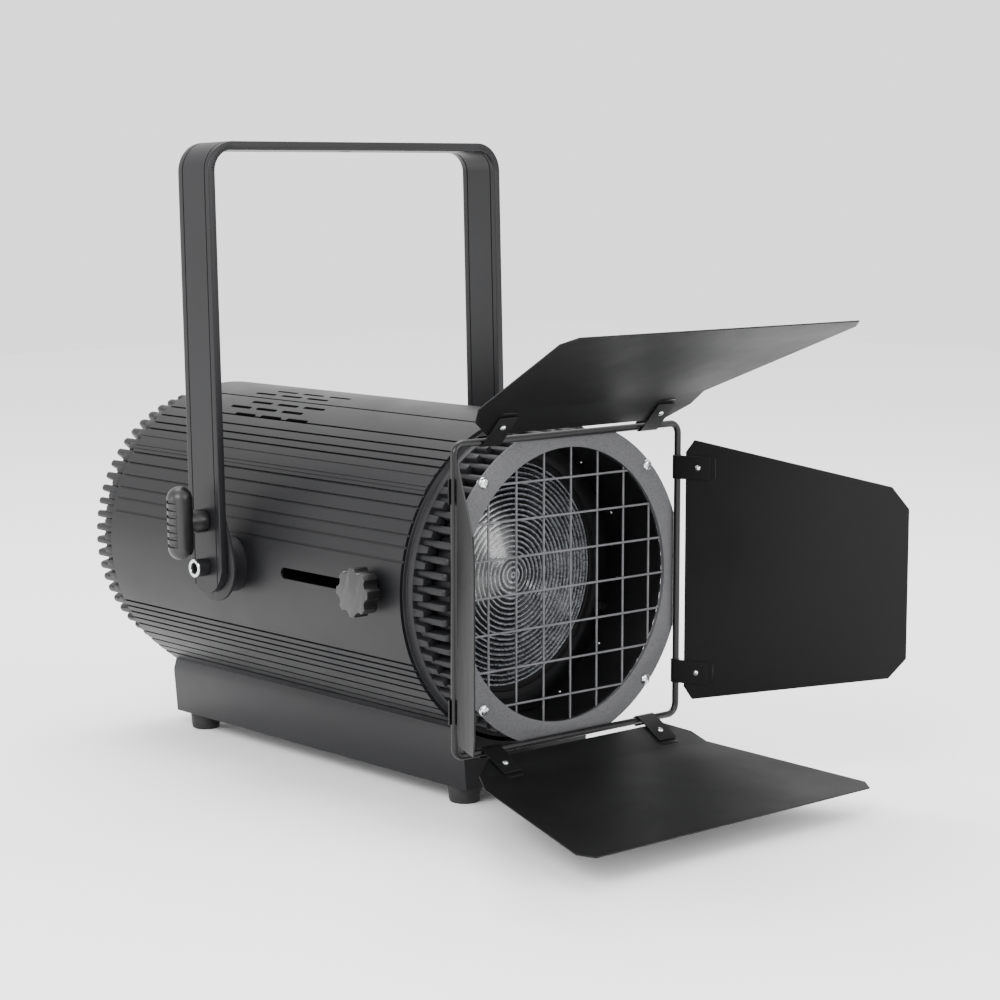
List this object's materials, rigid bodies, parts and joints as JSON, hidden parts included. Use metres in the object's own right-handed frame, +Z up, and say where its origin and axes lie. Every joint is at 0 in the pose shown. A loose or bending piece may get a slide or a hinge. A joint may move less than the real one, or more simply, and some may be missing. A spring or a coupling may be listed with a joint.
{
  "type": "fresnel spotlight",
  "caption": "Stage Fresnel spotlight with a ribbed barrel on a footed base, a tilting yoke, a sliding lens focus and hinged barn doors.",
  "frame": {"origin": "centre of the base's underside", "axes": "-Y is the way the light points, +Z is up, X is along the tilt axis"},
  "size_m": [0.4531, 0.7088, 0.546],
  "materials": {
    "satin_black_extrusion": "satin black paint on an aluminium extrusion",
    "cast_black_enamel": "semi-matt black enamel on aluminium castings and plates",
    "powder_coated_grey": "finely textured dark grey powder coat on aluminium",
    "enamelled_wire": "black enamel on steel wire and strip",
    "matt_black_sheet": "matt black heat-resisting paint on sheet steel",
    "bright_zinc": "bright zinc plate",
    "ground_steel": "ground steel rod",
    "moulded_rubber": "matt moulded rubber",
    "moulded_nylon": "moulded black nylon",
    "fresnel_glass": "pressed clear glass with stepped rings",
    "plain_aluminium": "plain machined aluminium",
    "led_phosphor": "yellow phosphor on a board",
    "display_window": "clear dark window"
  },
  "bodies": {
    "housing": {"shell": "satin_black_extrusion", "base": "satin_black_extrusion", "base_cover": "satin_black_extrusion", "front_casting": "cast_black_enamel", "rear_casting": "cast_black_enamel", "lens_tunnel": "cast_black_enamel", "rear_panel": "cast_black_enamel", "bezel_plate": "powder_coated_grey", "door_frame": "enamelled_wire", "grille": "enamelled_wire", "bezel_screw_1": "bright_zinc", "bezel_screw_2": "bright_zinc", "bezel_screw_3": "bright_zinc", "bezel_screw_4": "bright_zinc", "pivot_boss_left": "cast_black_enamel", "pivot_boss_right": "cast_black_enamel", "pivot_bolt_left": "bright_zinc", "pivot_bolt_right": "bright_zinc", "signal_in": "bright_zinc", "signal_out": "bright_zinc", "guide_rail_left": "ground_steel", "guide_rail_right": "ground_steel", "foot_front_left": "moulded_rubber", "foot_front_right": "moulded_rubber", "foot_rear_left": "moulded_rubber", "foot_rear_right": "moulded_rubber", "fan_frame": "moulded_nylon", "power_inlet": "moulded_nylon", "engine_plate": "plain_aluminium", "heat_sink": "plain_aluminium", "driver_box": "plain_aluminium", "led_module": "led_phosphor", "display": "display_window"},
    "yoke": {"yoke": "satin_black_extrusion", "clamp_plate_left": "cast_black_enamel", "clamp_plate_right": "cast_black_enamel"},
    "tilt_handle": {"tilt_handle": "moulded_rubber"},
    "lens_carriage": {"lens_carriage": "cast_black_enamel", "fresnel_lens": "fresnel_glass", "lens_retainer": "cast_black_enamel", "focus_stud": "ground_steel"},
    "focus_knob": {"focus_knob": "moulded_nylon"},
    "fan_rotor": {"fan_rotor": "moulded_nylon"},
    "leaf_top": {"leaf_top": "matt_black_sheet", "leaf_top_clip_1": "enamelled_wire", "leaf_top_clip_2": "enamelled_wire"},
    "leaf_right": {"leaf_right": "matt_black_sheet", "leaf_right_clip_1": "enamelled_wire", "leaf_right_clip_2": "enamelled_wire"},
    "leaf_bottom": {"leaf_bottom": "matt_black_sheet", "leaf_bottom_clip_1": "enamelled_wire", "leaf_bottom_clip_2": "enamelled_wire"},
    "leaf_left": {"leaf_left": "matt_black_sheet", "leaf_left_clip_1": "enamelled_wire", "leaf_left_clip_2": "enamelled_wire"},
    "button_1": {"button_1": "moulded_rubber"},
    "button_2": {"button_2": "moulded_rubber"},
    "button_3": {"button_3": "moulded_rubber"},
    "button_4": {"button_4": "moulded_rubber"}
  },
  "joints": [
    {"name": "yoke_tilt", "type": "hinge", "parent": "housing", "child": "yoke", "pos_m": [0, 0.0205, 0.1695], "axis": [1, 0, 0], "range_deg": [-100, 40]},
    {"name": "tilt_handle_turn", "type": "hinge", "parent": "yoke", "child": "tilt_handle", "pos_m": [-0.1635, 0.02169, 0.20948], "axis": [1, 0, 0], "continuous": true},
    {"name": "focus_slide", "type": "slide", "parent": "housing", "child": "lens_carriage", "axis": [0, 1, 0], "range_m": [-0.0025, 0.1125]},
    {"name": "focus_knob_turn", "type": "hinge", "parent": "lens_carriage", "child": "focus_knob", "pos_m": [-0.14, -0.171, 0.1705], "axis": [1, 0, 0], "continuous": true},
    {"name": "leaf_top_hinge", "type": "hinge", "parent": "housing", "child": "leaf_top", "pos_m": [0, -0.26, 0.2955], "axis": [-1, 0, 0], "range_deg": [-38, 38]},
    {"name": "leaf_bottom_hinge", "type": "hinge", "parent": "housing", "child": "leaf_bottom", "pos_m": [0, -0.26, 0.0455], "axis": [1, 0, 0], "range_deg": [-20, 55]},
    {"name": "leaf_right_hinge", "type": "hinge", "parent": "housing", "child": "leaf_right", "pos_m": [0.125, -0.26, 0.1705], "axis": [0, 0, 1], "range_deg": [-50, 60]},
    {"name": "leaf_left_hinge", "type": "hinge", "parent": "housing", "child": "leaf_left", "pos_m": [-0.125, -0.26, 0.1705], "axis": [0, 0, -1], "range_deg": [-62, 50]},
    {"name": "fan_spin", "type": "hinge", "parent": "housing", "child": "fan_rotor", "pos_m": [0, 0.0485, 0.1705], "axis": [0, 1, 0], "continuous": true},
    {"name": "button_1_press", "type": "slide", "parent": "housing", "child": "button_1", "axis": [0, -1, 0], "range_m": [0, 0.0015], "stiffness_N_per_m": 600, "springref_m": -0.0005},
    {"name": "button_2_press", "type": "slide", "parent": "housing", "child": "button_2", "axis": [0, -1, 0], "range_m": [0, 0.0015], "stiffness_N_per_m": 600, "springref_m": -0.0005},
    {"name": "button_3_press", "type": "slide", "parent": "housing", "child": "button_3", "axis": [0, -1, 0], "range_m": [0, 0.0015], "stiffness_N_per_m": 600, "springref_m": -0.0005},
    {"name": "button_4_press", "type": "slide", "parent": "housing", "child": "button_4", "axis": [0, -1, 0], "range_m": [0, 0.0015], "stiffness_N_per_m": 600, "springref_m": -0.0005}
  ]
}
